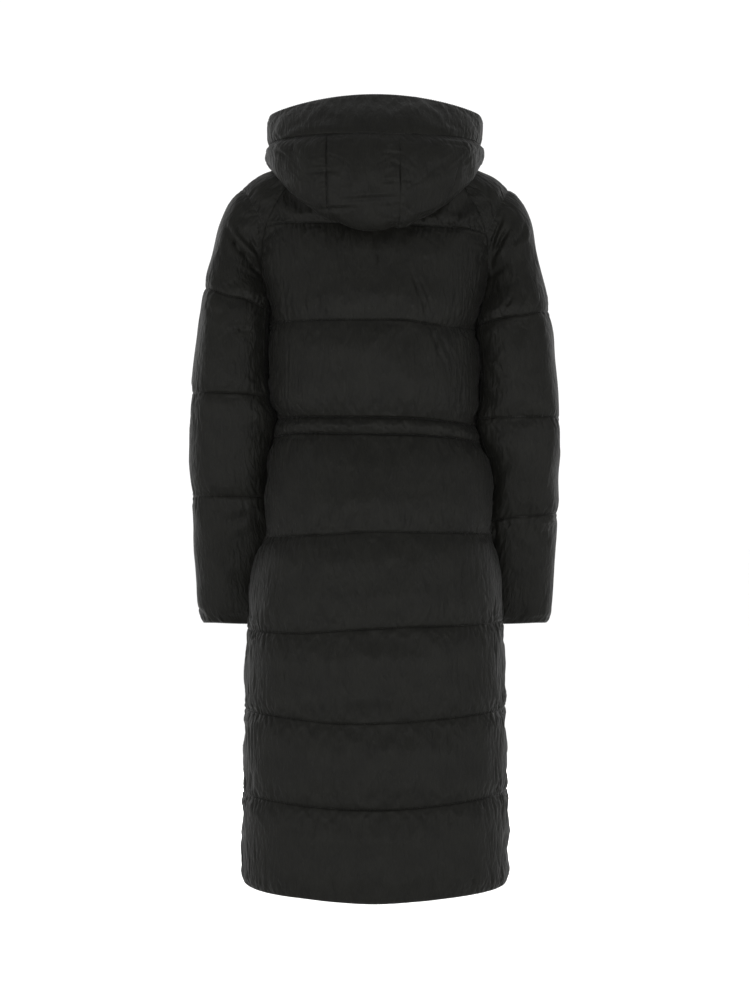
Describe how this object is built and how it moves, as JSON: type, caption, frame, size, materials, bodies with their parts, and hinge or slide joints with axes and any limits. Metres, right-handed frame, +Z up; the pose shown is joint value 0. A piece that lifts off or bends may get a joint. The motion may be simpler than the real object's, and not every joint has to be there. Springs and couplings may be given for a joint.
{
  "type": "long puffer coat",
  "caption": "Long quilted puffer coat with raglan sleeves, a hood lying down behind and a front zip, hollow and filled out as worn.",
  "frame": {"origin": "middle of the neck opening, level with the neck side of the shoulders, where the coat hangs on its wearer", "axes": "+Z up, -Y towards the wearer's front, +X towards the wearer's left"},
  "size_m": [0.5938, 0.3454, 1.2433],
  "materials": {
    "shell_cloth": "fine plain-weave nylon shell, near black, matt with a soft sheen, padded",
    "zip_tape": "woven polyester tape, black, matt",
    "zip_teeth": "moulded nylon teeth, black, half matt",
    "zip_metal": "die-cast metal, black enamel, half gloss"
  },
  "bodies": {
    "coat": {"back_bodice": "shell_cloth", "back_casing": "shell_cloth", "back_skirt": "shell_cloth", "front_bodice_left": "shell_cloth", "front_bodice_right": "shell_cloth", "front_casing_left": "shell_cloth", "front_casing_right": "shell_cloth", "front_skirt_left": "shell_cloth", "front_skirt_right": "shell_cloth", "sleeve_top_left": "shell_cloth", "sleeve_top_right": "shell_cloth", "sleeve_under_left": "shell_cloth", "sleeve_under_right": "shell_cloth", "hood_brim": "shell_cloth", "hood_centre": "shell_cloth", "hood_side_left": "shell_cloth", "hood_side_right": "shell_cloth", "zip_tape_left": "zip_tape", "zip_tape_right": "zip_tape", "zip_chain": "zip_teeth", "zip_slider": "zip_metal"},
    "pull_tab": {"zip_pull_tab": "zip_metal"}
  },
  "joints": [
    {"name": "pull_tab_hinge", "type": "hinge", "parent": "coat", "child": "pull_tab", "pos_m": [0, -0.12714, 0.0039], "axis": [-1, 0, 0], "range_deg": [-10, 165]}
  ]
}
